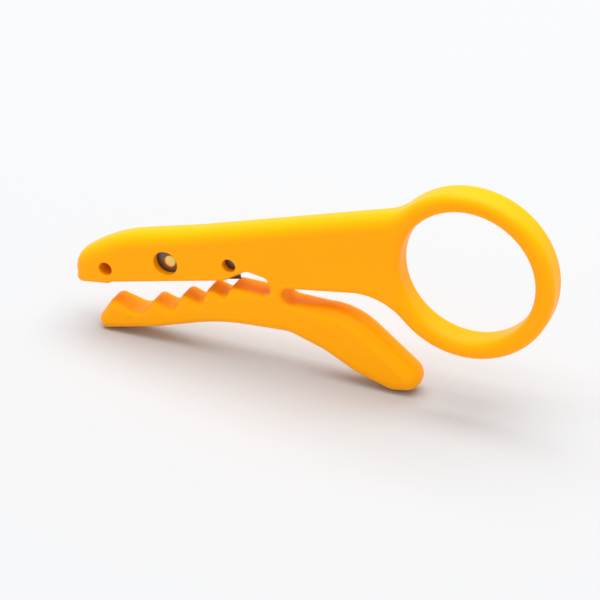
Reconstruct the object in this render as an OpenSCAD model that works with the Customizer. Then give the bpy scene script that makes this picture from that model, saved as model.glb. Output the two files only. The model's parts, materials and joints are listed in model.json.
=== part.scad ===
// Finger-ring fibre and cable stripper: one flat moulding whose lower jaw flexes on a thin
// web, with a stripping blade held across the upper jaw and a punch-down blade in the nose.
// The outline is drawn in the tool's own plane, X along the arm and Z across it, with the
// ring's centre at 0,0, and is then tilted until nose and grip stand on one level surface.

/* [Moulding] */
// Thickness of the flat moulding
thickness = 6; // [5:0.5:8]
// Tilt at which the tool stands on its lower jaw and its grip
stance = 12.5; // [11:0.1:14]

/* [Finger ring] */
// Outer radius of the ring
ring_r = 15.75; // [15.5:0.05:16.5]
// Radius of the finger hole
ring_bore_r = 12.2; // [11.5:0.1:13]
// Rounding of the ring's four edges
ring_edge_r = 1; // [0.5:0.1:1.2]
// Fillet between the ring and the arm's upper edge
upper_fillet_r = 9; // [7:0.5:11]
// Fillet between the ring and the arm's lower edge
lower_fillet_r = 11; // [9:0.5:12]

/* [Flexing web] */
// Thickest part of the web between mouth and rear slot, measured along the arm
web_w = 2.1; // [1.8:0.1:2.4]
// Length of the stretch of web that bends
web_len = 1.8; // [1.2:0.1:2]

/* [Stripping blade] */
// Length of the blade along the jaw
blade_len = 19; // [16:0.5:20]
// Height of the blade across the jaw
blade_h = 7.2; // [6.6:0.1:7.6]
// Thickness of the blade
blade_t = 0.5; // [0.4:0.05:0.6]
// Depth of the blade's face behind the tool's front face
blade_depth = 1.5; // [1.2:0.1:1.8]
// Height of the ground bevel along the cutting edge
bevel_h = 0.9; // [0.5:0.1:1.2]
// Radius of the pin that holds the blade
pin_r = 1.25; // [1:0.05:1.5]

/* [Holes in the upper jaw] */
// Radius of the window over the blade's pin
window_r = 2.35; // [2:0.05:2.6]
// Radius of the two small core-pin holes
core_hole_r = 1.3; // [1:0.05:1.5]
// Depth of the small hole near the nose
nose_hole_depth = 4.5; // [3:0.5:5]

/* [Punch-down tip] */
// Width of the open slot in the nose
nose_slot_w = 1.2; // [1:0.1:1.6]
// Thickness of the punch-down blade
punch_t = 0.5; // [0.4:0.05:0.6]

/* [Hidden] */
yellow = [1.0, 0.67, 0.0];
steel = [0.72, 0.73, 0.75];
brass = [0.86, 0.66, 0.27];

// Angle of one step along an arc, and the fineness of the round cuts
arc_step = 8;
$fn = 96;

// Rear slot and mouth: where the web's two sides stand, and the rear slot's end radius
slot_end_x = -35.5;
slot_r = 1.5;
mouth_end_x = slot_end_x - web_w;

// The arm's straight edges: a point on each and its slope in degrees
top_edge = [-50, 9.24];
top_slope = 4.2;
under_edge = [-31, -2.25];
under_slope = -5.25;

// The lower edge of the upper jaw, and the height of the blade's cutting edge
jaw_edge_back = -0.36;
jaw_edge_front = -0.7;
blade_edge_z = -0.7;
blade_back_x = -43.5;

function unit(v) = v / norm(v);
function polar(angle) = [cos(angle), sin(angle)];
function bearing(v) = atan2(v.y, v.x);
function signed_turn(from, to) = (to - from + 540) % 360 - 180;

// Points along an arc about c from p to q, the short way round
function arc(c, p, q) =
    let (r = norm(p - c), start = bearing(p - c), sweep = signed_turn(start, bearing(q - c)))
    let (steps = max(1, ceil(abs(sweep) / arc_step)))
    [for (i = [0:steps]) c + r * polar(start + sweep * i / steps)];

// A corner at b between a and c, rounded to radius r
function corner(a, b, c, r) =
    let (u = unit(a - b), v = unit(c - b), half = acos(u * v) / 2)
    arc(b + unit(u + v) * r / sin(half), b + u * r / tan(half), b + v * r / tan(half));

function flat(p) = [p.x, p.y];

// A closed path of [x, z, radius] corners as points
function rounded(path) =
    let (n = len(path))
    [for (i = [0:n - 1])
        let (a = flat(path[(i + n - 1) % n]), b = flat(path[i]), c = flat(path[(i + 1) % n]))
        each (path[i].z == 0 ? [b] : corner(a, b, c, path[i].z))];

// Centre of a fillet of radius r between the ring and the line through p along d, where n
// points out of the arm: it lies r outside the line and ring_r + r from the ring's centre
function fillet_centre(p, d, n, r) =
    let (q = p + r * n, along = q * d)
    q + d * (-along - sqrt(along * along - q * q + pow(ring_r + r, 2)));
function on_ring(c) = unit(c) * ring_r;

top_dir = polar(top_slope);
top_out = polar(top_slope + 90);
under_dir = polar(under_slope);
under_out = polar(under_slope - 90);
upper_c = fillet_centre(top_edge, top_dir, top_out, upper_fillet_r);
lower_c = fillet_centre(under_edge, under_dir, under_out, lower_fillet_r);
upper_start = upper_c - upper_fillet_r * top_out;
lower_start = lower_c - lower_fillet_r * under_out;
function on_under(x) = under_edge.y + (x - under_edge.x) * tan(under_slope);

// Grip, from the rear slot round its end to the lower jaw's underside
grip_corners = [
    [slot_end_x, -5.0, slot_r], [-23, -6.38, 13], [-12.75, -18.7, 3], [-12.75, -22.65, 2.8],
    [-18.6, -22.65, 5], [-24.9, -18.7, 10], [-29.7, -14.5, 10], [-35.7, -10.85, 6],
    [-48.3, -8.6, 40], [-62, -9.85, 40], [-74.2, -10.45, 1.3], [-74.2, -7.83, 1.2]];
// Teeth, from the nose inwards: crest, valley, crest
tooth_corners = [
    [-70.4, -4.1, 1.4], [-65, -7.95, 3], [-61.95, -4.36, 1.1], [-58.5, -6.6, 1.8],
    [-55.65, -3.25, 1], [-52.6, -5.1, 1.2], [-50.1, -2.05, 0.9], [-47.2, -3.65, 0.9],
    [-45.3, -1.75, 0.8]];
// End of the mouth with the arch over its last tooth
mouth_corners = [
    [mouth_end_x, -3.75, 1.5], [mouth_end_x, -0.1, 1.3], [-41.4, 1.5, 1.8],
    [-46.2, jaw_edge_back, 1.5]];
// Upper jaw and nose
nose_corners = [
    [-69.3, jaw_edge_front, 0.5], [-70.3, -1.05, 0.5], [-76.85, -0.95, 1.4],
    [-76.85, 4.3, 5], [-67.7, 8.56, 30], [top_edge.x, top_edge.y, 60]];

moulding_path = concat(
    [[lower_start.x, lower_start.y, 0], [slot_end_x, on_under(slot_end_x), slot_r]],
    grip_corners, tooth_corners, mouth_corners, nose_corners,
    [[upper_start.x, upper_start.y, 0]]);
moulding_outline = concat(
    rounded(moulding_path),
    arc(upper_c, upper_start, on_ring(upper_c)), [[0, 0]],
    arc(lower_c, on_ring(lower_c), lower_start));

// The web bends about its narrowest section, which runs across it at this angle
hinge = [(slot_end_x + mouth_end_x) / 2, -2.65];
hinge_angle = -18.2;
hinge_out = polar(hinge_angle + 90);

// Everything on the lower jaw's side of a cut across the web. The cut lies this far from
// the hinge's centre, towards the arm, and runs on through the mouth and the rear slot.
function lower_side(cut) =
    let (c = hinge + cut * hinge_out, across = polar(hinge_angle))
    [c - 2.4 * across, c + 2.3 * across, [-33.6, -3.6], [-22, -5.4], [-16.5, -9.4],
     [-11, -17], [-11, -30], [-80, -30], [-80, -2.4], [-46, -1.2], [-41.5, -0.6]];

module tilted() rotate([0, -stance, 0]) children();

// A flat plate in the tool's plane, centred on it
module plate(points, t = thickness)
    rotate([90, 0, 0]) linear_extrude(t, center = true) polygon(points);

// A round bar across the tool from one depth behind the front face to another
module cross_bar(at, r, from, to)
    translate([at.x, to - thickness / 2, at.y]) rotate([90, 0, 0]) cylinder(r = r, h = to - from);

// A box in the tool's plane between two corners, from one depth to another
module cross_box(low, high, from, to)
    translate([low.x, from - thickness / 2, low.y])
        cube([high.x - low.x, to - from, high.y - low.y]);

// Half a section of the ring's wall: its edge rounding on one side
function edge_arc(centre, start) =
    [for (a = [0:15:90]) centre + ring_edge_r * polar(start + a)];

module ring_section() {
    flat_y = thickness / 2 - ring_edge_r;
    polygon(concat(
        [[ring_bore_r - 1, -thickness / 2]], edge_arc([ring_r - ring_edge_r, -flat_y], -90),
        edge_arc([ring_r - ring_edge_r, flat_y], 0), [[ring_bore_r - 1, thickness / 2]]));
}

// The finger hole with its rounded edges, as the shape to take away
module finger_hole() {
    flat_y = thickness / 2 - ring_edge_r;
    lip = ring_bore_r + ring_edge_r;
    rotate([90, 0, 0]) rotate_extrude() polygon(concat(
        [[0, -thickness], [lip, -thickness]],
        [for (a = [0:15:90]) [lip - ring_edge_r * sin(a), -flat_y - ring_edge_r * cos(a)]],
        [for (a = [0:15:90]) [lip - ring_edge_r * cos(a), flat_y + ring_edge_r * sin(a)]],
        [[lip, thickness], [0, thickness]]));
}

blade_front_x = blade_back_x - blade_len;
blade_top_z = blade_edge_z + blade_h;
pin_at = [-56.8, 3.1];
window_at = [-57.15, 3.2];
nose_hole_at = [-69.85, 2.15];
rear_hole_at = [-44.45, 2.75];
punch_root_x = -71.6;
punch_tip_x = -76.3;
nose_slot_back_x = -73.8;
nose_slot_top_z = 3.1;
punch_low_z = -0.55;
punch_high_z = 2.7;

module ring_body() color(yellow) tilted() difference() {
    union() {
        difference() {
            plate(moulding_outline);
            plate(lower_side(web_len / 2), thickness + 1);
        }
        rotate([90, 0, 0]) rotate_extrude() ring_section();
    }
    finger_hole();
    cross_bar(nose_hole_at, core_hole_r, -1, nose_hole_depth);
    cross_bar(window_at, window_r, -1, blade_depth);
    cross_bar(rear_hole_at, core_hole_r, -1, blade_depth);
    cross_bar(pin_at, pin_r, 0, blade_depth + blade_t + 2);
    cross_box([blade_front_x, blade_edge_z - 1], [blade_back_x, blade_top_z],
        blade_depth, blade_depth + blade_t);
    cross_box([punch_tip_x - 2, -2], [nose_slot_back_x, nose_slot_top_z],
        (thickness - nose_slot_w) / 2, (thickness + nose_slot_w) / 2);
    cross_box([nose_slot_back_x - 1, punch_low_z], [punch_root_x, punch_high_z],
        (thickness - punch_t) / 2, (thickness + punch_t) / 2);
}

module jaw_lever() color(yellow) tilted() intersection() {
    plate(moulding_outline);
    plate(lower_side(-web_len / 2), thickness + 1);
}

module hinge_web() color(yellow) tilted() difference() {
    intersection() {
        plate(moulding_outline);
        plate(lower_side(web_len / 2), thickness + 1);
    }
    plate(lower_side(-web_len / 2), thickness + 2);
}

// The stripping blade: a flat plate with one ground bevel and a round hole for its pin
module strip_blade() color(steel) tilted() {
    back = blade_depth + blade_t - thickness / 2;
    front = blade_depth - thickness / 2;
    difference() {
        translate([blade_front_x, 0, 0]) rotate([90, 0, 90]) linear_extrude(blade_len)
            polygon([[front, blade_edge_z + bevel_h], [back - 0.05, blade_edge_z],
                [back, blade_edge_z], [back, blade_top_z], [front, blade_top_z]]);
        cross_bar(pin_at, pin_r, 0, thickness);
    }
}

// The pin that locks the blade, with a rounded head standing in the window
module blade_pin() color(brass) tilted()
    translate([pin_at.x, blade_depth + blade_t + 2 - thickness / 2, pin_at.y])
        rotate([90, 0, 0]) rotate_extrude() {
            head = blade_t + 2.5;
            soft = 0.35;
            polygon(concat([[0, 0], [pin_r, 0]],
                [for (a = [0:15:90]) [pin_r - soft + soft * cos(a), head - soft + soft * sin(a)]],
                [[0, head]]));
        }

// The punch-down blade, standing on edge in the nose slot with its root in the moulding
module punch_blade() color(steel) tilted() rotate([90, 0, 0])
    linear_extrude(punch_t, center = true) polygon([
        [punch_root_x, punch_low_z], [punch_root_x, punch_high_z], [punch_tip_x + 0.6, punch_high_z],
        [punch_tip_x, punch_high_z - 0.6], [punch_tip_x, punch_low_z]]);

ring_body();
jaw_lever();
hinge_web();
strip_blade();
blade_pin();
punch_blade();
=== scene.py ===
"""A finger-ring fibre and cable stripper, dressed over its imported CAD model.

The tool is one flat yellow moulding whose toothed lower jaw flexes on a thin web. It holds a
dark steel stripping blade, seen through two holes in the upper jaw, the rivet that locks the
blade, and a punch-down blade in the nose.

Shapes are worked out in millimetres in the tool's own plane, with x along the arm, z across it,
y through the thickness and the ring's centre at 0, 0, 0. stand() tilts them on to the floor.
"""

import json
import math

import bpy
import numpy as np
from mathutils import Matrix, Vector
from mathutils.geometry import delaunay_2d_cdt


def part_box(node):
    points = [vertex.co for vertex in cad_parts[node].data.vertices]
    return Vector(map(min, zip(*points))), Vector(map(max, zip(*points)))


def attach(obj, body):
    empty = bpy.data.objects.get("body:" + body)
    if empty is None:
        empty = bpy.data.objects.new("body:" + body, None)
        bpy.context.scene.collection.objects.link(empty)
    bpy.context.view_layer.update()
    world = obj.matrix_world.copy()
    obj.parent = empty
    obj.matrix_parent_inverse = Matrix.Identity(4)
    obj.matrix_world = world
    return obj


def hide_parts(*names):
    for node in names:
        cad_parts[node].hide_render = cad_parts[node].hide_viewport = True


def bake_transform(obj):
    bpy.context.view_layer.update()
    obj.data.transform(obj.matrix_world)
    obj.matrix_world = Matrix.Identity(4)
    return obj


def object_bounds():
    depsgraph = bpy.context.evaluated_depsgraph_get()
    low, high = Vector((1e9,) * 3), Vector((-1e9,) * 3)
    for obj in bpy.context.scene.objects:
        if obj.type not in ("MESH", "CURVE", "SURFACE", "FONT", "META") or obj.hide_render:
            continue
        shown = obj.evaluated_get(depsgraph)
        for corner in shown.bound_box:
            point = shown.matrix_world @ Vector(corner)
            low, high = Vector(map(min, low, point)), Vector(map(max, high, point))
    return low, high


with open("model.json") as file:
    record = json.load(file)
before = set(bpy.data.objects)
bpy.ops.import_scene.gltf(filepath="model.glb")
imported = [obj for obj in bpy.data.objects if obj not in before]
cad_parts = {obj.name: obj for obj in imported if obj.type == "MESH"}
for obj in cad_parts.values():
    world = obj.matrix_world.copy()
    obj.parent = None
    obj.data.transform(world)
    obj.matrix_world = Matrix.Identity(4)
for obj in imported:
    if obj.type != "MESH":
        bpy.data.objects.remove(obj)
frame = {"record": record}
cad_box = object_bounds()
body_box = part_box("ring_body")
ring_mount = next(m for m in frame["record"]["mounts"] if m["name"] == "finger_ring")

# ---------------------------------------------------------------- sizes, in millimetres
MM = 0.001
STANCE = 12.5
HALF = (body_box[1].y - body_box[0].y) / MM / 2
RING_R = body_box[1].x / MM
BORE_R = ring_mount["dims"]["r_mm"]

UPPER_FILLET_R = 9
LOWER_FILLET_R = 11
WEB_W = 2.1
WEB_LEN = 1.8
SLOT_END_X = -35.5
MOUTH_END_X = SLOT_END_X - WEB_W
TOP_EDGE = (-50, 9.24)
TOP_SLOPE = 4.2
UNDER_EDGE = (-31, -2.25)
UNDER_SLOPE = -5.25
HINGE = np.array([(SLOT_END_X + MOUTH_END_X) / 2, -2.65])
HINGE_ANGLE = -18.2
# How far the web's cuts are looked for to the left and right of its middle line, and the share
# of its length over which it bends to each side of the hinge
CUT_REACH = (2.4, 2.3)
BEND_SHARE = 0.36

# The parting line, a fine ridge that the two mould halves leave round every wall
SEAM_INSET = 0.03
SEAM_HEIGHT = 0.015
SEAM_HALF_WIDTH = 0.12
# Stations across the wall, as shares of the seam's half width and of the wall's straight half
SEAM_STATIONS = np.array([-1, -0.5, 0, 0.5, 1])
STATIONS_BEFORE_SEAM = np.array([-0.7, -0.5])
STATION_BEHIND_SEAM = 0.6

# Corners of the outline as x, z, corner radius and the rounding of the moulding's edge there
UNDER_AT_SLOT = UNDER_EDGE[1] + (SLOT_END_X - UNDER_EDGE[0]) * math.tan(math.radians(UNDER_SLOPE))
SLOT_CORNERS = [(SLOT_END_X, UNDER_AT_SLOT, 1.5, 0.8), (SLOT_END_X, -5.0, 1.5, 0.9)]
GRIP_CORNERS = [
    (-23, -6.38, 13, 2.6), (-12.75, -18.7, 3, 2.6), (-12.75, -22.65, 2.8, 2.6),
    (-18.6, -22.65, 5, 2.6), (-24.9, -18.7, 10, 2.2), (-29.7, -14.5, 10, 2.0),
    (-35.7, -10.85, 6, 1.8), (-48.3, -8.6, 40, 1.5), (-62, -9.85, 40, 1.2),
    (-74.2, -10.45, 1.3, 1.7), (-74.2, -7.83, 1.2, 1.7)]
TOOTH_CORNERS = [
    (-70.4, -4.1, 1.4, 1.7), (-65, -7.95, 3, 0.8), (-61.95, -4.36, 1.1, 1.6),
    (-58.5, -6.6, 1.8, 1.4), (-55.65, -3.25, 1, 1.7), (-52.6, -5.1, 1.2, 1.7),
    (-50.1, -2.05, 0.9, 1.5), (-47.2, -3.65, 0.9, 1.4), (-45.3, -1.75, 0.8, 1.3)]
MOUTH_CORNERS = [
    (MOUTH_END_X, -3.75, 1.5, 0.9), (MOUTH_END_X, -0.1, 1.3, 0.8), (-41.4, 1.5, 1.8, 0.7),
    (-46.2, -0.36, 1.5, 0.7)]
NOSE_CORNERS = [
    (-69.3, -0.7, 0.5, 0.8), (-70.3, -1.05, 0.5, 0.9), (-76.85, -0.95, 1.4, 1.8),
    (-76.85, 4.3, 5, 2.5), (-67.7, 8.56, 30, 2.6), (*TOP_EDGE, 60, 2.6)]
ARM_EDGE_R = 2.6
RING_EDGE_R = 1.7

# Stripping blade, its rivet, and the three holes of the upper jaw
BLADE_BACK_X = -43.5
BLADE_FRONT_X = -62.5
BLADE_EDGE_Z = -0.7
BLADE_TOP_Z = 6.5
BLADE_DEPTH = 1.5
BLADE_T = 0.5
BEVEL_H = 0.9
BLADE_LAND = 0.05
SLOT_GAP = 0.03
SLOT_CEILING_Z = 0.8
PIN_AT = (-56.8, 3.1)
PIN_R = 1.25
PIN_DEPTH = 1.0
PIN_PAST_BLADE = 2
DOME_H = 0.42
WINDOW_AT = (-57.15, 3.2)
WINDOW_R = 2.35
NOSE_HOLE_AT = (-69.85, 2.15)
REAR_HOLE_AT = (-44.45, 2.75)
CORE_R = 1.3
NOSE_HOLE_DEPTH = 4.5
WINDOW_PAST_BLADE = 0.1
LIP_R = 0.15

# Punch-down blade and its slot
NOSE_SLOT_BACK_X = -73.8
NOSE_SLOT_TOP_Z = 3.1
NOSE_SLOT_W = 1.2
PUNCH_X = (-76.3, -71.6)
PUNCH_Z = (-0.55, 2.7)
PUNCH_T = 0.5
PUNCH_CORNER = 0.6
PUNCH_CHAMFER = 0.06

# Light: the world's level, the lamp in watts, and the floor as seen and as it bounces light
WORLD_LEVEL = 0.77
LAMP_POWER = 19
FLOOR_SEEN = (0.48, 0.484, 0.49, 1)
FLOOR_LIT = (0.62, 0.62, 0.62, 1)

# Camera: degrees round to the right and up, metres away, and the lens and sensor in millimetres
CAMERA_SIDE = 23.39
CAMERA_HEIGHT = 29.97
CAMERA_DISTANCE = 0.45
CAMERA_TARGET = (-0.0315, 0, -0.0125)
LENS = 152.74
SENSOR_WIDTH = 36

ROUND_STEPS = 8
ARC_STEP = 5
STRAIGHT_STEP = 1.0
CIRCLE_STEPS = 96
SAME_PLACE = 1e-6


# ---------------------------------------------------------------- the outline
# Columns of an outline row: place, outward normal, edge rounding, and its ridge, which is an
# inset limit, that limit's growth along a flank, and a step along the bisector
PLACE, OUTWARD, EDGE = slice(0, 2), slice(2, 4), slice(4, 5)
RIDGE, LIMIT, GROWTH, STEP = slice(5, 9), slice(5, 6), slice(6, 7), slice(7, 9)
# The ridge of a row that has none: its inset may be as deep as any rounding
FREE = (1000.0, 0.0, 0.0, 0.0)


def polar(angle):
    """The unit vector at an angle in degrees."""
    return np.array([math.cos(math.radians(angle)), math.sin(math.radians(angle))])


def bearing(vector):
    """The angle of a vector, in degrees."""
    return math.degrees(math.atan2(vector[1], vector[0]))


def turn_between(start, end):
    """The short way round from one angle to another, in degrees."""
    return (end - start + 540) % 360 - 180


def arc_rows(centre, radius, start, sweep, edges, ridge=FREE):
    """Outline rows along an arc: x, z, outward x, outward z, edge rounding and the ridge.

    The outline runs clockwise, so an arc that turns clockwise bulges outwards and its outward
    normal is its radius. On an arc that turns the other way the normal points to the centre.
    """
    steps = max(2, math.ceil(abs(sweep) / ARC_STEP))
    angles = np.radians(start + sweep * np.linspace(0, 1, steps + 1))
    radial = np.stack([np.cos(angles), np.sin(angles)], axis=1)
    outward = -np.sign(sweep) * radial
    rounding = np.linspace(*edges, steps + 1)
    return np.column_stack(
        [centre + radius * radial, outward, rounding, np.tile(ridge, (steps + 1, 1))])


def corner_rows(before, corner, after):
    """The arc that rounds a corner: its centre lies on the bisector, radius / sin(half) away.

    Where a corner bulges, what lies inside the moulding's two flanks ends at the bisector. The
    ridge says so: the inset at which a row meets it, how fast that inset grows along a flank,
    tan(half), and the step along the bisector for each further millimetre, middle / sin(half).
    """
    at, radius, edge = np.array(corner[:2]), corner[2], corner[3]
    u = np.array(before[:2]) - at
    v = np.array(after[:2]) - at
    u, v = u / np.linalg.norm(u), v / np.linalg.norm(v)
    half = math.acos(u @ v) / 2
    middle = (u + v) / np.linalg.norm(u + v)
    centre = at + middle * radius / math.sin(half)
    start = bearing(at + u * radius / math.tan(half) - centre)
    end = bearing(at + v * radius / math.tan(half) - centre)
    sweep = turn_between(start, end)
    ridge = (radius, math.tan(half), *(middle / math.sin(half))) if sweep < 0 else FREE
    return arc_rows(centre, radius, start, sweep, (edge, edge), ridge)


def fillet_centre(point, along, outward, radius):
    """Centre of a fillet between the ring and a straight edge: radius outside the edge, and
    the ring's radius plus its own from the ring's centre."""
    q = np.array(point) + radius * outward
    s = q @ along
    return q - along * (s + math.sqrt(s * s - q @ q + (RING_R + radius) ** 2))


def with_straights(rows):
    """Splits every gap longer than STRAIGHT_STEP into even parts. A new row takes the ridge
    that it meets first, of the two corners on either side of it."""
    made = [rows[:1]]
    for first, last in zip(rows, rows[1:]):
        gap = np.linalg.norm(last[PLACE] - first[PLACE])
        parts = max(1, math.ceil(gap / STRAIGHT_STEP))
        share = np.arange(1, parts + 1)[:, None] / parts
        fresh = first + share * (last - first)
        from_first = first[LIMIT] + share * gap * first[GROWTH]
        from_last = last[LIMIT] + (1 - share) * gap * last[GROWTH]
        fresh[:, RIDGE] = np.where(from_first < from_last, first[RIDGE], last[RIDGE])
        fresh[:, LIMIT] = np.minimum(from_first, from_last)
        fresh[-1] = last
        made.append(fresh)
    return np.concatenate(made)


def moulding_outline():
    """The whole outline as rows, clockwise from the arm's lower edge round to the ring."""
    top_out, under_out = polar(TOP_SLOPE + 90), polar(UNDER_SLOPE - 90)
    upper_c = fillet_centre(TOP_EDGE, polar(TOP_SLOPE), top_out, UPPER_FILLET_R)
    lower_c = fillet_centre(UNDER_EDGE, polar(UNDER_SLOPE), under_out, LOWER_FILLET_R)
    path = [tuple(lower_c - LOWER_FILLET_R * under_out)]
    path += SLOT_CORNERS + GRIP_CORNERS + TOOTH_CORNERS + MOUTH_CORNERS + NOSE_CORNERS
    path += [tuple(upper_c - UPPER_FILLET_R * top_out)]
    rows = [corner_rows(*path[i - 1:i + 2]) for i in range(1, len(path) - 1)]
    for centre, radius, start, end, edges in (
            (upper_c, UPPER_FILLET_R, bearing(-top_out), bearing(-upper_c),
                (ARM_EDGE_R, RING_EDGE_R)),
            (lower_c, LOWER_FILLET_R, bearing(-lower_c), bearing(-under_out),
                (RING_EDGE_R, RING_EDGE_R))):
        rows.append(arc_rows(centre, radius, start, turn_between(start, end), edges))
    round_ring = bearing(lower_c) - bearing(upper_c)
    rows.insert(-1, arc_rows(
        np.zeros(2), RING_R, bearing(upper_c), round_ring, (RING_EDGE_R, RING_EDGE_R)))
    rows = np.concatenate(rows)
    steps = rows[:, PLACE] - np.roll(rows[:, PLACE], 1, axis=0)
    rows = rows[np.linalg.norm(steps, axis=1) > SAME_PLACE]
    return with_straights(np.vstack([rows, rows[:1]]))


def with_station(rows, start, end):
    """Adds a row where the closed outline crosses the segment from start to end.

    Both are lines p + t d; each crossing solves for t by the ratio of two cross products.
    """
    start, end = np.array(start), np.array(end)
    p, following = rows[:, PLACE], np.roll(rows, -1, axis=0)
    d, e = following[:, PLACE] - p, end - start
    across = d[:, 0] * e[1] - d[:, 1] * e[0]
    gap = start - p
    t = (gap[:, 0] * e[1] - gap[:, 1] * e[0]) / across
    u = (gap[:, 0] * d[:, 1] - gap[:, 1] * d[:, 0]) / across
    hit = np.flatnonzero((t >= 0) & (t < 1) & (u >= 0) & (u <= 1))[0]
    row = (1 - t[hit]) * rows[hit] + t[hit] * following[hit]
    row[OUTWARD] /= np.linalg.norm(row[OUTWARD])
    row[RIDGE] = min(rows[hit, RIDGE], following[hit, RIDGE], key=lambda ridge: ridge[0])
    return np.insert(rows, hit + 1, row, axis=0), row[PLACE]


def row_at(rows, point):
    """Index of the outline row at a point."""
    return int(np.argmin(np.linalg.norm(rows[:, PLACE] - point, axis=1)))


# ---------------------------------------------------------------- meshes
def stand(vectors):
    """Turns (x, y, z) vectors of the tool's plane about the ring's axis by the stance."""
    x, y, z = vectors.T
    c, s = math.cos(math.radians(STANCE)), math.sin(math.radians(STANCE))
    return np.column_stack([x * c - z * s, y, x * s + z * c])


def inside(points, loop):
    """Whether points lie in a closed loop: a ray to the right crosses it an odd number of times."""
    x, z = points[:, :1], points[:, 1:]
    x1, z1 = loop[:, 0], loop[:, 1]
    x2, z2 = np.roll(loop, -1, axis=0).T
    straddles = (z1 > z) != (z2 > z)
    with np.errstate(divide="ignore", invalid="ignore"):
        crossing_x = x1 + (z - z1) * (x2 - x1) / (z2 - z1)
    return (straddles & (x < crossing_x)).sum(axis=1) % 2 == 1


class Shell:
    """Collects patches of triangles with their normals, and welds them into one closed mesh."""

    def __init__(self):
        self.points, self.normals, self.triangles = [], [], []
        self.count = 0

    def add(self, points, normals, triangles):
        """Adds a patch, each triangle turned to face the way that its normals point."""
        points, normals = points.reshape(-1, 3), normals.reshape(-1, 3)
        a, b, c = (points[triangles[:, i]] for i in range(3))
        facing = (np.cross(b - a, c - a) * normals[triangles].sum(axis=1)).sum(axis=1)
        triangles = np.where(facing[:, None] < 0, triangles[:, ::-1], triangles)
        self.points.append(points)
        self.normals.append(normals)
        self.triangles.append(triangles + self.count)
        self.count += len(points)

    def grid(self, points, normals, keep=None):
        """A patch on a grid of rows and columns; keep says which of its cells are there."""
        rows, columns = points.shape[:2]
        number = np.arange(rows * columns).reshape(rows, columns)
        cells = np.stack(
            [number[:-1, :-1], number[1:, :-1], number[1:, 1:], number[:-1, 1:]], axis=-1)
        cells = cells.reshape(-1, 4) if keep is None else cells[keep]
        self.add(points, normals, np.concatenate([cells[:, [0, 1, 2]], cells[:, [0, 2, 3]]]))

    def flat(self, outline, holes, y, facing):
        """A flat face in the tool's plane: a Delaunay triangulation that keeps the outline and
        the holes as edges, less the triangles whose middles lie outside or in a hole."""
        loops = [outline, *holes]
        flat_points = np.concatenate(loops)
        edges, first = [], 0
        for loop in loops:
            number = np.arange(len(loop))
            edges += (np.column_stack([number, np.roll(number, -1)]) + first).tolist()
            first += len(loop)
        found = delaunay_2d_cdt([Vector(p) for p in flat_points], edges, [], 0, 1e-6)
        source = np.array([origin[0] for origin in found[3]])
        triangles = source[np.array(found[2])]
        middle = flat_points[triangles].mean(axis=1)
        kept = inside(middle, outline)
        for hole in holes:
            kept &= ~inside(middle, hole)
        points = np.insert(flat_points, 1, y, axis=1)
        normals = np.broadcast_to([0.0, facing, 0.0], points.shape)
        self.add(points, normals, triangles[kept])

    def facets(self, first, second, middle, facing=1):
        """Flat-shaded strips between two lines of 3D points, facing away from a middle point,
        or towards it where facing is -1."""
        quads = np.stack([first[:-1], first[1:], second[1:], second[:-1]], axis=1)
        normal = np.cross(quads[:, 2] - quads[:, 0], quads[:, 3] - quads[:, 1])
        normal /= np.linalg.norm(normal, axis=1, keepdims=True)
        outward = ((quads.mean(axis=1) - middle) * normal).sum(axis=1)
        normal = normal * (np.where(outward < 0, -1, 1) * facing)[:, None]
        number = np.arange(len(quads) * 4).reshape(-1, 4)
        normals = np.repeat(normal[:, None], 4, axis=1)
        self.add(quads, normals, np.concatenate([number[:, [0, 1, 2]], number[:, [0, 2, 3]]]))

    def build(self, name, material):
        """Welds points that coincide, drops the empty triangles and makes the object."""
        points = np.concatenate(self.points)
        normals = np.concatenate(self.normals)
        triangles = np.concatenate(self.triangles)
        _, keep, place = np.unique(
            np.round(points, 5), axis=0, return_index=True, return_inverse=True)
        place = place.ravel()
        welded = place[triangles]
        sides = welded != np.roll(welded, 1, axis=1)
        whole = sides.all(axis=1)
        welded, corner_normals = welded[whole], normals[triangles[whole]].reshape(-1, 3)
        mesh = bpy.data.meshes.new(name)
        mesh.from_pydata(stand(points[keep]) * MM, [], welded.tolist())
        mesh.polygons.foreach_set("use_smooth", np.ones(len(welded), bool))
        mesh.normals_split_custom_set(stand(corner_normals).tolist())
        mesh.materials.append(material)
        piece = bpy.data.objects.new(name, mesh)
        bpy.context.scene.collection.objects.link(piece)
        return piece


def wall_depths(rows):
    """Depths y of the wall's stations: two before the seam, five on it and one behind. A slot
    moves those beside the seam to its own sides."""
    straight = HALF - rows[:, EDGE]
    seam = np.tile(SEAM_HALF_WIDTH * SEAM_STATIONS, (len(rows), 1))
    return np.hstack([straight * STATIONS_BEFORE_SEAM, seam, straight * STATION_BEHIND_SEAM])


def inset_points(rows, inset):
    """Outline points moved in by an inset each. Past a row's ridge they follow the bisector."""
    along = np.minimum(inset, rows[:, LIMIT])[..., None]
    beyond = np.maximum(inset - rows[:, LIMIT], 0)[..., None]
    return rows[:, None, PLACE] - rows[:, None, OUTWARD] * along + rows[:, None, STEP] * beyond


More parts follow.
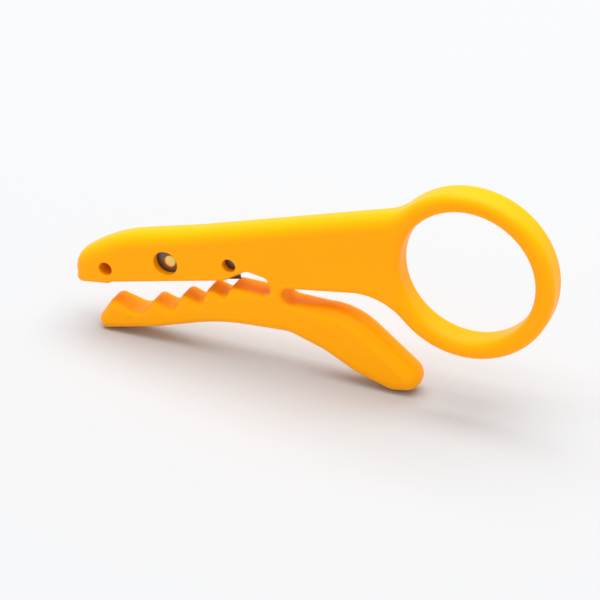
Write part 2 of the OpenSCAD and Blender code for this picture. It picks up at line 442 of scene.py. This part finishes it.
def edge_band(rows, depths):
    """The moulding's edge along a stretch of outline, as points and normals on a grid.

    Across the band run a quarter round, the straight wall and a quarter round. On a quarter
    round at angle a from the wall, a point lies r (1 - cos a) inside the outline and
    r (1 - sin a) behind the face. The wall lies SEAM_INSET inside the outline, and the seam
    rises from it as a raised cosine. Where two flanks meet in a ridge the outward direction
    is the bisector's.
    """
    edge = rows[:, EDGE]
    angle = np.radians(np.linspace(90, 0, ROUND_STEPS + 1))
    phase = np.pi * np.clip(depths / SEAM_HALF_WIDTH, -1, 1)
    rise = SEAM_HEIGHT * (1 + np.cos(phase)) / 2
    slope = -SEAM_HEIGHT * np.pi / (2 * SEAM_HALF_WIDTH) * np.sin(phase)
    round_inset = edge * (1 - np.cos(angle))
    round_depth = -HALF + edge * (1 - np.sin(angle))
    inset = SEAM_INSET + np.hstack([round_inset, -rise, round_inset[:, ::-1]])
    y = np.hstack([round_depth, depths, -round_depth[:, ::-1]])
    lean = np.tile(np.cos(angle), (len(rows), 1))
    side = np.tile(np.sin(angle), (len(rows), 1))
    lean = np.hstack([lean, np.ones_like(depths), lean[:, ::-1]])
    side = np.hstack([-side, -slope, side[:, ::-1]])
    at = inset_points(rows, inset)
    past = (inset > rows[:, LIMIT])[..., None]
    length = np.linalg.norm(rows[:, STEP], axis=1, keepdims=True)
    bisector = rows[:, STEP] / np.maximum(length, 1e-9)
    outward = np.where(past, -bisector[:, None], rows[:, None, OUTWARD])
    points = np.insert(at, 1, y, axis=-1)
    normals = np.insert(outward * lean[..., None], 1, side, axis=-1)
    return points, normals / np.linalg.norm(normals, axis=-1, keepdims=True)


def plan(points):
    """The x and z of 3D points."""
    return points[..., [0, 2]]


def cut_face(shell, first, second, facing):
    """Closes a cut across the moulding: a strip ruled between the sections at its two ends."""
    strip = np.stack([first, second])
    normals = np.broadcast_to([facing[0], 0.0, facing[1]], strip.shape)
    shell.grid(strip, normals)


def revolve(profile, centre):
    """Carries a profile round a centre in the plane. Its rows are radius, depth below the front
    face, and the normal's parts along both."""
    profile = np.array(profile)
    angle = np.linspace(0, 2 * np.pi, CIRCLE_STEPS + 1)[:, None]
    angle[-1] = 0
    radius, depth, along_r, along_d = profile.T[:, None, :]
    points = np.stack([
        centre[0] + radius * np.cos(angle), depth - HALF + 0 * angle,
        centre[1] + radius * np.sin(angle)], axis=-1)
    normals = np.stack([
        along_r * np.cos(angle), along_d + 0 * angle, along_r * np.sin(angle)], axis=-1)
    return points, normals


def pocket(shell, centre, radius, depth):
    """A blind round hole in the front face, its lip and its foot rounded alike. Returns its rim
    in the face."""
    angle = np.radians(np.linspace(0, 90, ROUND_STEPS + 1))
    c, s = np.cos(angle), np.sin(angle)
    rim = np.column_stack([radius + LIP_R * (1 - s), LIP_R * (1 - c), -s, -c])
    root = np.column_stack([radius - LIP_R * (1 - c), depth - LIP_R * (1 - s), -c, -s])
    profile = np.vstack([rim, root, [[0, depth, 0, -1]]])
    points, normals = revolve(profile, centre)
    shell.grid(points, normals)
    return plan(points[:-1, 0])


def cut_slot(shell, points, first, last, y_index, inner):
    """The inside of a slot that opens in the edge band between two of its rows and two of its
    stations. inner lists the slot's corners in the plane, from the last row to the first."""
    front, back = y_index
    mouth = plan(points[first:last + 1, front])
    inner = np.array(inner)
    y_front, y_back = points[first, front, 1], points[first, back, 1]
    outline = np.vstack([mouth, inner])
    shell.flat(outline, [], y_front, 1)
    shell.flat(outline, [], y_back, -1)
    line = np.vstack([mouth[-1:], inner, mouth[:1]])
    middle = outline.mean(axis=0)
    near = np.insert(line, 1, y_front, axis=1)
    far = np.insert(line, 1, y_back, axis=1)
    shell.facets(near, far, np.array([middle[0], 0, middle[1]]), facing=-1)


def loft(shell, levels, hole=None):
    """A plate through several outlines with the same count of corners, each at its own depth,
    flat-shaded, with a round hole straight through as rows of x and z."""
    holes = [] if hole is None else [hole]
    for (y, outline), facing in ((levels[0], -1), (levels[-1], 1)):
        shell.flat(outline, holes, y, facing)
    rings = [np.insert(np.vstack([o, o[:1]]), 1, y, axis=1) for y, o in levels]
    middle = np.concatenate(rings).mean(axis=0)
    for near, far in zip(rings, rings[1:]):
        shell.facets(near, far, middle)
    if hole is not None:
        centre = hole.mean(axis=0)
        closed = np.vstack([hole, hole[:1]])
        normals = np.insert((centre - closed) / np.linalg.norm(hole[0] - centre), 1, 0, axis=1)
        sides = np.stack([np.insert(closed, 1, y, axis=1) for y, _ in (levels[0], levels[-1])])
        shell.grid(sides, np.stack([normals, normals]))


# ---------------------------------------------------------------- materials
class Number:
    """A shader socket that carries a number: arithmetic on it adds Math nodes."""

    def __init__(self, finish, socket):
        self.finish, self.socket = finish, socket

    def _math(self, operation, first, second):
        return self.finish.node("ShaderNodeMath", {"operation": operation}, {0: first, 1: second})

    def __add__(self, other):
        return self._math("ADD", self, other)

    def __sub__(self, other):
        return self._math("SUBTRACT", self, other)

    def __rsub__(self, other):
        return self._math("SUBTRACT", other, self)

    def __mul__(self, other):
        return self._math("MULTIPLY", self, other)

    __radd__, __rmul__ = __add__, __mul__


class Finish:
    """The node tree of a material or of the world."""

    def __init__(self, owner):
        owner.use_nodes = True
        self.owner, self.tree = owner, owner.node_tree
        self.tree.nodes.clear()

    def node(self, kind, settings=None, inputs=None, output=0):
        """Adds a node: its settings first, then the values or links of its sockets."""
        made = self.tree.nodes.new(kind)
        for name, value in (settings or {}).items():
            setattr(made, name, value)
        for name, value in (inputs or {}).items():
            if isinstance(value, Number):
                self.tree.links.new(value.socket, made.inputs[name])
            else:
                made.inputs[name].default_value = value
        return None if output is None else Number(self, made.outputs[output])

    def noise(self, scale, detail=2.0, roughness=0.5, stretch=(1, 1, 1), turn=(0, 0, 0)):
        """Noise from 0 to 1, with scale in features per metre, drawn out along an axis."""
        place = self.node("ShaderNodeTexCoord", output="Object")
        vector = self.node("ShaderNodeMapping", {"vector_type": "POINT"}, {
            "Vector": place, "Scale": stretch, "Rotation": turn})
        return self.node("ShaderNodeTexNoise", {"noise_dimensions": "3D"}, {
            "Vector": vector, "Scale": scale, "Detail": detail, "Roughness": roughness})

    def step(self, value, low, high):
        """0 below low and 1 above high, smooth between."""
        return self.node("ShaderNodeMapRange", {"interpolation_type": "SMOOTHSTEP"}, {
            "Value": value, "From Min": low, "From Max": high, "To Min": 0.0, "To Max": 1.0})

    def mix(self, factor, first, second):
        """A colour between two."""
        return self.node("ShaderNodeMix", {"data_type": "RGBA"}, {
            0: factor, 6: first, 7: second}, output=2)

    def bump(self, height, distance):
        """A normal from a height, with distance in metres for a height of 1."""
        return self.node("ShaderNodeBump", None, {
            "Height": height, "Distance": distance, "Strength": 1.0})

    def directly_seen(self):
        """1 for rays from the camera, a mirror or glass, and 0 for all other light."""
        camera, glossy, transmission = (
            self.node("ShaderNodeLightPath", output=name)
            for name in ("Is Camera Ray", "Is Glossy Ray", "Is Transmission Ray"))
        return self.node("ShaderNodeMath", {"operation": "ADD", "use_clamp": True}, {
            0: camera + glossy, 1: transmission})

    def surface(self, inputs):
        """Ends a material in a Principled surface and returns it."""
        shader = self.node("ShaderNodeBsdfPrincipled", None, inputs)
        return self.end("ShaderNodeOutputMaterial", shader)

    def end(self, kind, shader):
        """Links a shader to the tree's output and returns the material or world."""
        self.node(kind, None, {"Surface": shader}, output=None)
        return self.owner


def yellow_plastic():
    """Glossy moulded plastic: faint flow tones, a slight orange peel and a few fine scuffs."""
    finish = Finish(bpy.data.materials.new("yellow_plastic"))
    flow = finish.noise(70, 2.0, 0.5, stretch=(0.6, 1, 1.4))
    colour = finish.mix(flow, (0.98, 0.362, 0.0, 1), (1.0, 0.392, 0.0, 1))
    scuffs = finish.step(finish.noise(420, 3.0, 0.6, (0.25, 1, 2.6), (0, 0.5, 0)), 0.66, 0.78)
    handling = finish.noise(240, 3.0, 0.6)
    peel = finish.noise(1100, 2.0, 0.45)
    grain = finish.noise(5200, 1.0, 0.5)
    height = peel + 0.12 * grain - 0.25 * scuffs
    return finish.surface({
        "Base Color": colour,
        "Roughness": 0.25 + 0.12 * handling + 0.14 * scuffs,
        "Normal": finish.bump(height, 0.000006),
        "Specular IOR Level": 0.08,
    })


def blade_steel():
    """Dark ground steel: fine lines along the blade, cloudy tone and slightly uneven gloss."""
    finish = Finish(bpy.data.materials.new("blade_steel"))
    lines = finish.noise(900, 3.0, 0.6, (0.12, 1, 9), (0, math.radians(STANCE), 0))
    cloud = finish.noise(350, 2.0, 0.5)
    colour = finish.mix(0.6 * cloud + 0.4 * lines, (0.10, 0.08, 0.07, 1), (0.20, 0.17, 0.155, 1))
    return finish.surface({
        "Base Color": colour,
        "Metallic": 1.0,
        "Roughness": 0.22 + 0.16 * lines,
        "Normal": finish.bump(lines, 0.000004),
    })


def pin_brass():
    """Satin brass with a soft tumbled surface."""
    finish = Finish(bpy.data.materials.new("pin_brass"))
    cloud = finish.noise(1500, 2.0, 0.5)
    marks = finish.noise(4200, 2.0, 0.6)
    colour = finish.mix(cloud, (0.80, 0.53, 0.13, 1), (0.92, 0.68, 0.22, 1))
    return finish.surface({
        "Base Color": colour,
        "Metallic": 1.0,
        "Roughness": 0.24 + 0.14 * marks,
        "Normal": finish.bump(marks, 0.000004),
    })


# ---------------------------------------------------------------- the pieces
def moulding_parts():
    """Splits the outline at the web's two cuts: the body's stretch, the web's two sides and
    the lever's stretch, with the places where the slots begin and end."""
    rows = moulding_outline()
    across, along = polar(HINGE_ANGLE), polar(HINGE_ANGLE + 90)
    cut_a, cut_b = HINGE + WEB_LEN / 2 * along, HINGE - WEB_LEN / 2 * along
    marks = {}
    # Each place is where the line between two points crosses the outline
    for name, start, end in (
            ("body_starts", cut_a, cut_a - CUT_REACH[0] * across),
            ("body_ends", cut_a, cut_a + CUT_REACH[1] * across),
            ("lever_starts", cut_b, cut_b + CUT_REACH[1] * across),
            ("lever_ends", cut_b, cut_b - CUT_REACH[0] * across),
            ("blade_back", (BLADE_BACK_X + SLOT_GAP, -1.2), (BLADE_BACK_X + SLOT_GAP, 1.4)),
            ("blade_front", (BLADE_FRONT_X - SLOT_GAP, -1.2), (BLADE_FRONT_X - SLOT_GAP, 1.4)),
            ("nose_below", (NOSE_SLOT_BACK_X, -1.5), (NOSE_SLOT_BACK_X, 0.5)),
            ("nose_front", (-78, NOSE_SLOT_TOP_Z), (-75, NOSE_SLOT_TOP_Z))):
        rows, marks[name] = with_station(rows, start, end)
    rows = np.roll(rows, -row_at(rows, marks["body_starts"]), axis=0)
    rows = np.vstack([rows, rows[:1]])
    at = {name: row_at(rows[:-1], point) for name, point in marks.items()}
    stretches = {
        "body": rows[:at["body_ends"] + 1],
        "web_rear": rows[at["body_ends"]:at["lever_starts"] + 1],
        "lever": rows[at["lever_starts"]:at["lever_ends"] + 1],
        "web_mouth": rows[at["lever_ends"]:],
    }
    return stretches, at, along


# Stations of the edge band that the slots open between, the first one after the quarter round
SLOT_FRONT = ROUND_STEPS + 1
SLOT_BACK = SLOT_FRONT + 1
SEAM_BACK = SLOT_FRONT + 7


def ring_body(rows, at, along, material):
    """The handle's moulding: arm, nose and ring, with its holes, slots and cut at the web."""
    shell = Shell()
    depths = wall_depths(rows)
    blade_rows = slice(at["blade_back"], at["blade_front"] + 1)
    nose_rows = slice(at["nose_below"], at["nose_front"] + 1)
    blade_face = BLADE_DEPTH - HALF
    depths[blade_rows, :2] = [blade_face - SLOT_GAP, blade_face + BLADE_T + SLOT_GAP]
    depths[nose_rows, 0] = -NOSE_SLOT_W / 2
    depths[nose_rows, 1] = -NOSE_SLOT_W / 3  # between the slot's side and the seam
    depths[nose_rows, -1] = NOSE_SLOT_W / 2
    points, normals = edge_band(rows, depths)
    keep = np.ones((points.shape[0] - 1, points.shape[1] - 1), bool)
    keep[at["blade_back"]:at["blade_front"], SLOT_FRONT:SLOT_BACK] = False
    keep[at["nose_below"]:at["nose_front"], SLOT_FRONT:SEAM_BACK] = False
    shell.grid(points, normals, keep)
    cut_slot(shell, points, at["blade_back"], at["blade_front"], (SLOT_FRONT, SLOT_BACK), [
        (BLADE_FRONT_X - SLOT_GAP, SLOT_CEILING_Z), (BLADE_BACK_X + SLOT_GAP, SLOT_CEILING_Z)])
    cut_slot(shell, points, at["nose_below"], at["nose_front"], (SLOT_FRONT, SEAM_BACK), [
        (NOSE_SLOT_BACK_X, NOSE_SLOT_TOP_Z)])

    angle = np.linspace(0, 360, CIRCLE_STEPS + 1)
    radial = np.stack([np.cos(np.radians(angle)), np.sin(np.radians(angle))], axis=1)
    radial[-1] = radial[0]
    ring_rows = np.column_stack([
        BORE_R * radial, -radial, np.full(len(radial), RING_EDGE_R),
        np.tile(FREE, (len(radial), 1))])
    bore, bore_normals = edge_band(ring_rows, wall_depths(ring_rows))
    shell.grid(bore, bore_normals)

    front_holes = [
        plan(bore[:-1, 0]),
        pocket(shell, NOSE_HOLE_AT, CORE_R, NOSE_HOLE_DEPTH),
        pocket(shell, WINDOW_AT, WINDOW_R, BLADE_DEPTH + BLADE_T + WINDOW_PAST_BLADE),
        pocket(shell, REAR_HOLE_AT, CORE_R, BLADE_DEPTH + BLADE_T)]
    shell.flat(plan(points[:, 0]), front_holes, -HALF, -1)
    shell.flat(plan(points[:, -1]), [plan(bore[:-1, -1])], HALF, 1)
    cut_face(shell, points[0], points[-1], -along)
    piece = shell.build("arm_and_ring_moulding", material)
    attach(piece, "handle")
    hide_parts("ring_body")


def jaw_lever(rows, along, material):
    """The toothed lower jaw and its grip, cut at the web."""
    shell = Shell()
    points, normals = edge_band(rows, wall_depths(rows))
    shell.grid(points, normals)
    shell.flat(plan(points[:, 0]), [], -HALF, -1)
    shell.flat(plan(points[:, -1]), [], HALF, 1)
    cut_face(shell, points[0], points[-1], along)
    piece = shell.build("toothed_jaw_moulding", material)
    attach(piece, "lever")
    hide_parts("jaw_lever")


def hinge_web(rear_rows, mouth_rows, along, material):
    """The thin web between its two cuts, left straight: the ends of its bend are worked out but not
    used.
    """
    shell = Shell()
    rear, rear_normals = edge_band(rear_rows, wall_depths(rear_rows))
    mouth, mouth_normals = edge_band(mouth_rows, wall_depths(mouth_rows))
    shell.grid(rear, rear_normals)
    shell.grid(mouth, mouth_normals)
    for station, y, facing in ((0, -HALF, -1), (-1, HALF, 1)):
        shell.flat(np.vstack([plan(rear[:, station]), plan(mouth[:, station])]), [], y, facing)
    cut_face(shell, rear[0], mouth[-1], along)
    cut_face(shell, rear[-1], mouth[0], -along)
    piece = shell.build("flexing_web_moulding", material)
    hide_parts("hinge_web")
    reach = BEND_SHARE * WEB_LEN
    start, end = (
        stand(np.array([[HINGE[0] + d * along[0], 0, HINGE[1] + d * along[1]]]))[0] * MM
        for d in (reach, -reach))
    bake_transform(piece)


def rectangle(x0, x1, z0, z1):
    """Four corners of a rectangle in the plane."""
    return np.array([(x0, z0), (x1, z0), (x1, z1), (x0, z1)], float)


def stripping_blade(material):
    """A flat strip of steel with one ground bevel and a round hole for its rivet."""
    shell = Shell()
    angle = np.linspace(0, 2 * np.pi, CIRCLE_STEPS, endpoint=False)
    hole = np.array(PIN_AT) + (PIN_R + SLOT_GAP) * np.column_stack([np.cos(angle), np.sin(angle)])
    face, back = BLADE_DEPTH - HALF, BLADE_DEPTH + BLADE_T - HALF
    levels = [
        (face, rectangle(BLADE_FRONT_X, BLADE_BACK_X, BLADE_EDGE_Z + BEVEL_H, BLADE_TOP_Z)),
        (back - BLADE_LAND, rectangle(BLADE_FRONT_X, BLADE_BACK_X, BLADE_EDGE_Z, BLADE_TOP_Z)),
        (back, rectangle(BLADE_FRONT_X, BLADE_BACK_X, BLADE_EDGE_Z, BLADE_TOP_Z))]
    loft(shell, levels, hole)
    piece = shell.build("stripping_blade", material)
    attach(piece, "handle")
    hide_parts("strip_blade")


def blade_rivet(material):
    """A round rivet with a low domed head, the dome a quarter ellipse carried round the axis."""
    shell = Shell()
    angle = np.radians(np.linspace(0, 90, 2 * ROUND_STEPS + 1))
    c, s = np.cos(angle), np.sin(angle)
    normal = np.column_stack([s / PIN_R, -c / DOME_H])
    normal /= np.linalg.norm(normal, axis=1, keepdims=True)
    dome = np.column_stack([PIN_R * s, PIN_DEPTH + DOME_H * (1 - c), normal])
    foot = BLADE_DEPTH + BLADE_T + PIN_PAST_BLADE
    shell.grid(*revolve(np.vstack([dome, [[PIN_R, foot, 1, 0]]]), PIN_AT))
    shell.grid(*revolve([[PIN_R, foot, 0, 1], [0, foot, 0, 1]], PIN_AT))
    piece = shell.build("blade_rivet", material)
    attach(piece, "handle")
    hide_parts("blade_pin")


def punch_blade(material):
    """A small steel plate on edge in the nose slot, its long edges broken by a fine chamfer."""
    shell = Shell()
    (tip, root), (low, high) = PUNCH_X, PUNCH_Z
    outline = np.array([
        (root, low), (root, high), (tip + PUNCH_CORNER, high), (tip, high - PUNCH_CORNER),
        (tip, low)])
    inner = outline + PUNCH_CHAMFER * np.sign(outline.mean(axis=0) - outline)
    half = PUNCH_T / 2
    edge = half - PUNCH_CHAMFER
    loft(shell, [(-half, inner), (-edge, outline), (edge, outline), (half, inner)])
    piece = shell.build("punch_down_blade", material)
    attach(piece, "handle")
    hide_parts("punch_blade")


# ---------------------------------------------------------------- the stage
def area_lamp(name, at, target, size, power):
    """A soft white rectangular lamp that faces a point, in metres and watts."""
    data = bpy.data.lights.new(name, "AREA")
    data.shape = "RECTANGLE"
    data.size, data.size_y = size
    data.energy = power
    lamp = bpy.data.objects.new(name, data)
    lamp.location = at
    lamp.rotation_euler = (Vector(target) - Vector(at)).to_track_quat("-Z", "Y").to_euler()
    bpy.context.scene.collection.objects.link(lamp)


def floor(level):
    """A wide pale floor. What is seen directly of it is a little darker than what it bounces,
    so that it stays just short of white and keeps the object's shadow."""
    half = 3.0
    mesh = bpy.data.meshes.new("floor")
    corners = [(-half, -half, level), (half, -half, level), (half, half, level), (-half, half, level)]
    mesh.from_pydata(corners, [], [(0, 1, 2, 3)])
    finish = Finish(bpy.data.materials.new("pale_floor"))
    seen = finish.node("ShaderNodeBsdfDiffuse", None, {"Color": FLOOR_SEEN})
    lit = finish.node("ShaderNodeBsdfDiffuse", None, {"Color": FLOOR_LIT})
    mixed = finish.node("ShaderNodeMixShader", None, {0: finish.directly_seen(), 1: lit, 2: seen})
    mesh.materials.append(finish.end("ShaderNodeOutputMaterial", mixed))
    plane = bpy.data.objects.new("floor", mesh)
    bpy.context.scene.collection.objects.link(plane)


def studio(strength):
    """Even pale light from all round, white where the camera or a mirror sees it."""
    finish = Finish(bpy.data.worlds.new("studio"))
    level = strength + (1.0 - strength) * finish.directly_seen()
    background = finish.node("ShaderNodeBackground", None, {
        "Color": (0.985, 0.99, 1.0, 1), "Strength": level})
    bpy.context.scene.world = finish.end("ShaderNodeOutputWorld", background)


def camera():
    """A long lens above and to the right of the tool, aimed at the middle of its length."""
    front, right = polar(CAMERA_SIDE)
    level, up = polar(CAMERA_HEIGHT)
    back = Vector((right * level, -front * level, up))
    data = bpy.data.cameras.new("camera")
    data.sensor_width = SENSOR_WIDTH
    data.lens = LENS
    data.clip_start, data.clip_end = 0.01, 20
    made = bpy.data.objects.new("camera", data)
    made.location = Vector(CAMERA_TARGET) + back * CAMERA_DISTANCE
    made.rotation_euler = (-back).to_track_quat("-Z", "Y").to_euler()
    bpy.context.scene.collection.objects.link(made)
    bpy.context.scene.camera = made


yellow, steel, brass = yellow_plastic(), blade_steel(), pin_brass()
stretches, at, along = moulding_parts()
ring_body(stretches["body"], at, along, yellow)
jaw_lever(stretches["lever"], along, yellow)
hinge_web(stretches["web_rear"], stretches["web_mouth"], along, yellow)
stripping_blade(steel)
blade_rivet(brass)
punch_blade(steel)

camera()
floor(cad_box[0].z)
studio(WORLD_LEVEL)
area_lamp("overhead", (-0.03, 0.14, 1.0), (-0.03, 0.02, 0), (1.3, 1.2), LAMP_POWER)
bpy.context.scene.view_settings.view_transform = "Standard"
